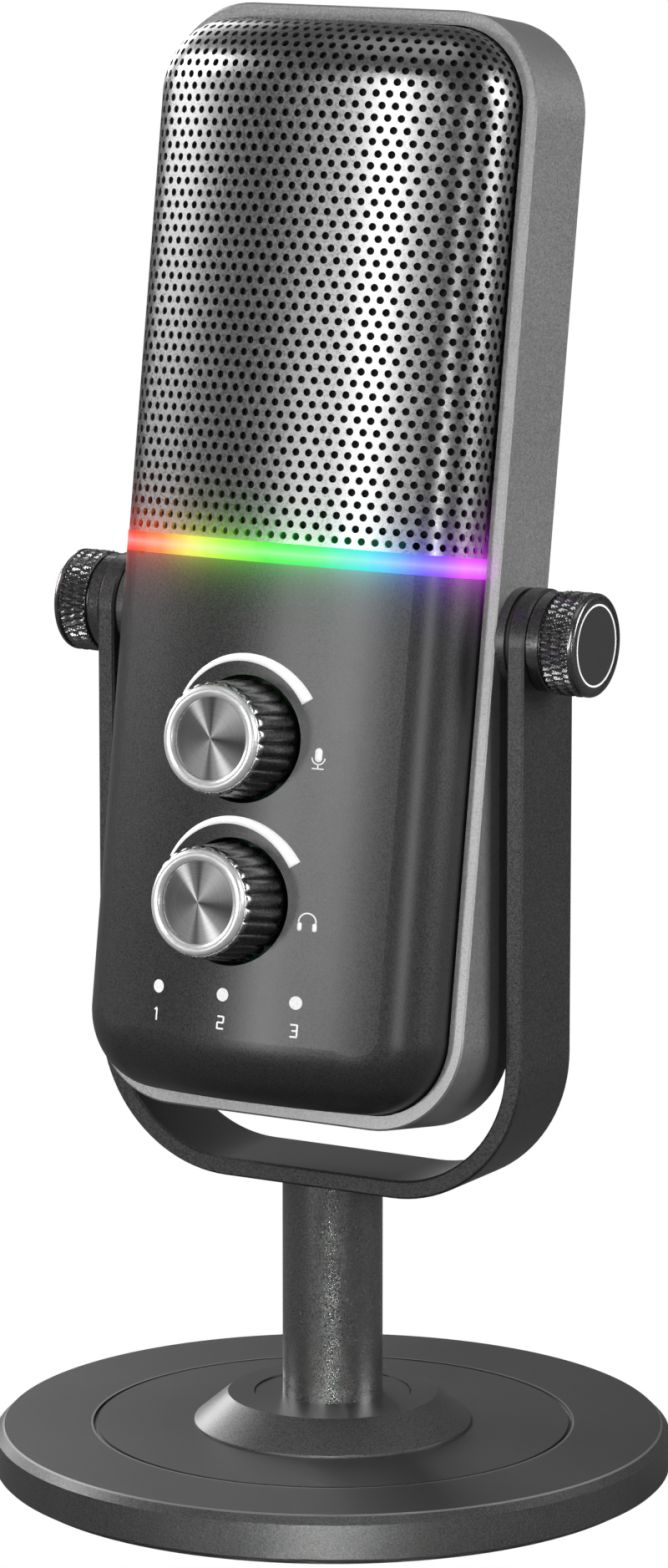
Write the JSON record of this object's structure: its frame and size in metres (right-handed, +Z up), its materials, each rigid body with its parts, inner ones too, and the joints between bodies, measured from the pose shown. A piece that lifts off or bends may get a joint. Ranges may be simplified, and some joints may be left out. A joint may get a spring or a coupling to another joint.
{
  "type": "desktop microphone",
  "caption": "Desktop condenser microphone with a domed grille, light strip and control knobs, tilting in a U-shaped yoke on a weighted disc base.",
  "frame": {"origin": "centre of the flat underside of the base, on the surface it stands on", "axes": "+Z up along the post, +X along the tilt axis to the right as seen from the front, front of the body towards -Y"},
  "size_m": [0.11, 0.11, 0.2377],
  "materials": {
    "stand_paint": "fine-grain satin charcoal",
    "foot_rubber": "matt",
    "weight_steel": "plain",
    "fastener_steel": "plain",
    "frame_grey": "bead-blasted satin grey",
    "cover_paint": "fine-grain satin charcoal",
    "grille_steel": "perforated sheet, satin gunmetal",
    "diffuser": "lit, milky, emissive",
    "foam": "open-cell foam",
    "inner_plastic": "moulded",
    "board_green": "circuit board",
    "pillar_brass": "turned",
    "knob_gunmetal": "tapered and fluted, glossy anodised",
    "knob_bright": "diamond-cut edge",
    "knob_face": "spun, anisotropic",
    "thumb_metal": "knurled, anodised",
    "thumb_cap": "satin disc with a thin light ring",
    "washer_nylon": "nylon",
    "socket_metal": "plated shell",
    "button_plastic": "satin",
    "capsule_metal": "plain"
  },
  "bodies": {
    "stand": {"foot_pad": "foot_rubber", "base_disc": "stand_paint", "base_weight": "weight_steel", "weight_screws": "fastener_steel", "collar": "stand_paint"},
    "swivel": {"pivot_washer": "fastener_steel", "pivot_bolt": "fastener_steel", "post": "stand_paint", "swivel_ring": "stand_paint", "yoke": "stand_paint"},
    "gain_knob": {"gain_shaft": "fastener_steel", "gain_knob": "knob_gunmetal", "gain_rim": "knob_bright", "gain_face": "knob_face"},
    "volume_knob": {"volume_shaft": "fastener_steel", "volume_knob": "knob_gunmetal", "volume_rim": "knob_bright", "volume_face": "knob_face"},
    "thumb_left": {"thumb_knob_left": "thumb_metal", "thumb_cap_left": "thumb_cap", "thumb_screw_left": "fastener_steel"},
    "thumb_right": {"thumb_knob_right": "thumb_metal", "thumb_cap_right": "thumb_cap", "thumb_screw_right": "fastener_steel"},
    "mode_button": {"mode_button": "button_plastic"},
    "microphone": {"capsule": "capsule_metal", "capsule_bracket": "inner_plastic", "capsule_cup": "foot_rubber", "chassis_plate": "inner_plastic", "chassis_screws": "fastener_steel", "control_board": "board_green", "control_pillars": "pillar_brass", "control_screws": "fastener_steel", "frame_band": "frame_grey", "friction_washers": "washer_nylon", "front_cover": "cover_paint", "front_foam": "foam", "front_grille": "grille_steel", "gain_pot": "inner_plastic", "headphone_jack": "button_plastic", "hinge_spacers": "stand_paint", "light_pipes": "diffuser", "light_strip": "diffuser", "main_board": "board_green", "main_pillars": "pillar_brass", "main_screws": "fastener_steel", "mode_switch": "inner_plastic", "rear_cover": "cover_paint", "rear_foam": "foam", "rear_grille": "grille_steel", "strip_board": "board_green", "thread_inserts": "pillar_brass", "usb_socket": "socket_metal", "volume_pot": "inner_plastic"}
  },
  "joints": [
    {"name": "base_swivel", "type": "hinge", "parent": "stand", "child": "swivel", "pos_m": [0, 0, 0.0082], "axis": [0, 0, 1], "continuous": true},
    {"name": "body_tilt", "type": "hinge", "parent": "swivel", "child": "microphone", "pos_m": [0, 0, 0.1402], "axis": [1, 0, 0], "range_deg": [-81, 99]},
    {"name": "gain_turn", "type": "hinge", "parent": "microphone", "child": "gain_knob", "pos_m": [0, -0.03257, 0.1262], "axis": [0, -0.9878, 0.1556], "range_deg": [-150, 150]},
    {"name": "volume_turn", "type": "hinge", "parent": "microphone", "child": "volume_knob", "pos_m": [0, -0.03656, 0.10091], "axis": [0, -0.9878, 0.1556], "range_deg": [-150, 150]},
    {"name": "left_clamp", "type": "hinge", "parent": "microphone", "child": "thumb_left", "pos_m": [-0.0436, 0, 0.1402], "axis": [-1, 0, 0], "range_deg": [0, 360]},
    {"name": "right_clamp", "type": "hinge", "parent": "microphone", "child": "thumb_right", "pos_m": [0.0436, 0, 0.1402], "axis": [1, 0, 0], "range_deg": [0, 360]},
    {"name": "mode_press", "type": "slide", "parent": "microphone", "child": "mode_button", "axis": [0, -0.9878, 0.1556], "range_m": [0, 0.0005], "stiffness_N_per_m": 800}
  ]
}
